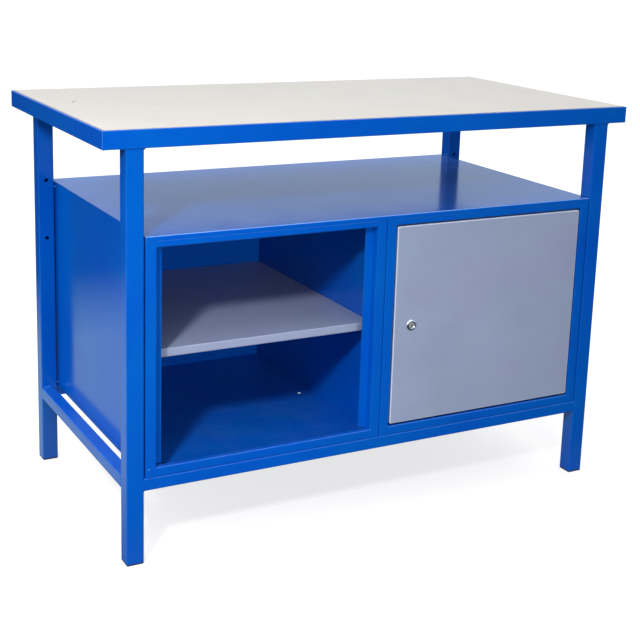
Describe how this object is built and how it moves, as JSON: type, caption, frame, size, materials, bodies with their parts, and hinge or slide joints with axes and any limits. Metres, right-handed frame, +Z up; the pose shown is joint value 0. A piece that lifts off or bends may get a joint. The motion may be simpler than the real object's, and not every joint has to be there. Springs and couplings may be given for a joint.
{
  "type": "workbench with cabinet doors",
  "caption": "Steel workbench with a faced worktop in an angle band on a tube frame, over an open shelved cabinet beside one with an inset locking door",
  "frame": {"origin": "on the floor under the middle of the worktop", "axes": "+X along the worktop to the right of someone standing at the front, +Y to the back, +Z up; the cabinets open towards -Y"},
  "size_m": [1.2, 0.6, 0.85],
  "materials": {
    "blue_paint": "gloss powder coat with slight orange peel",
    "grey_paint": "satin powder coat",
    "laminate": "pale warm grey laminate, satin",
    "plywood": "raw board",
    "black_plastic": "moulded, satin",
    "chrome": "polished plating",
    "zinc": "bright zinc plating",
    "nylon": "black moulded nylon"
  },
  "bodies": {
    "bench": {"leg_front_left": "blue_paint", "foot_front_left": "black_plastic", "leg_front_right": "blue_paint", "foot_front_right": "black_plastic", "leg_rear_left": "blue_paint", "foot_rear_left": "black_plastic", "leg_rear_right": "blue_paint", "foot_rear_right": "black_plastic", "rail_front": "blue_paint", "band_front": "blue_paint", "rail_rear": "blue_paint", "band_rear": "blue_paint", "rail_left": "blue_paint", "band_left": "blue_paint", "rail_right": "blue_paint", "band_right": "blue_paint", "cross_bar_left": "blue_paint", "cross_bar_right": "blue_paint", "worktop_board": "plywood", "worktop_facing": "laminate", "board_screw_front_left": "zinc", "board_screw_front_right": "zinc", "board_screw_rear_left": "zinc", "board_screw_rear_right": "zinc", "left_cabinet_left_side": "blue_paint", "left_cabinet_right_side": "blue_paint", "left_cabinet_floor": "blue_paint", "left_cabinet_head": "blue_paint", "left_cabinet_back": "blue_paint", "left_cabinet_left_runner": "blue_paint", "left_cabinet_right_runner": "blue_paint", "left_cabinet_shelf": "grey_paint", "left_cabinet_bolt_front_left": "blue_paint", "left_cabinet_bolt_front_right": "blue_paint", "left_cabinet_bolt_rear_left": "blue_paint", "left_cabinet_bolt_rear_right": "blue_paint", "right_cabinet_left_side": "blue_paint", "right_cabinet_right_side": "blue_paint", "right_cabinet_floor": "blue_paint", "right_cabinet_head": "blue_paint", "right_cabinet_back": "blue_paint", "right_cabinet_left_runner": "blue_paint", "right_cabinet_right_runner": "blue_paint", "right_cabinet_shelf": "grey_paint", "right_cabinet_bolt_front_left": "blue_paint", "right_cabinet_bolt_front_right": "blue_paint", "right_cabinet_bolt_rear_left": "blue_paint", "right_cabinet_bolt_rear_right": "blue_paint", "deck": "blue_paint", "hinge_pin_bottom": "zinc", "hinge_pin_top": "zinc"},
    "door": {"door_panel": "grey_paint", "hinge_bush_bottom": "nylon", "hinge_bush_top": "nylon", "lock_body": "chrome", "lock_nut": "zinc"},
    "lock": {"lock_core": "chrome", "lock_cam": "zinc", "lock_cam_screw": "zinc"}
  },
  "joints": [
    {"name": "door_hinge", "type": "hinge", "parent": "bench", "child": "door", "pos_m": [0.4835, -0.291, 0.41175], "axis": [0, 0, 1], "range_deg": [0, 120]},
    {"name": "lock_turn", "type": "hinge", "parent": "door", "child": "lock", "pos_m": [0.067, -0.297, 0.41175], "axis": [0, -1, 0], "range_deg": [0, 90]}
  ]
}
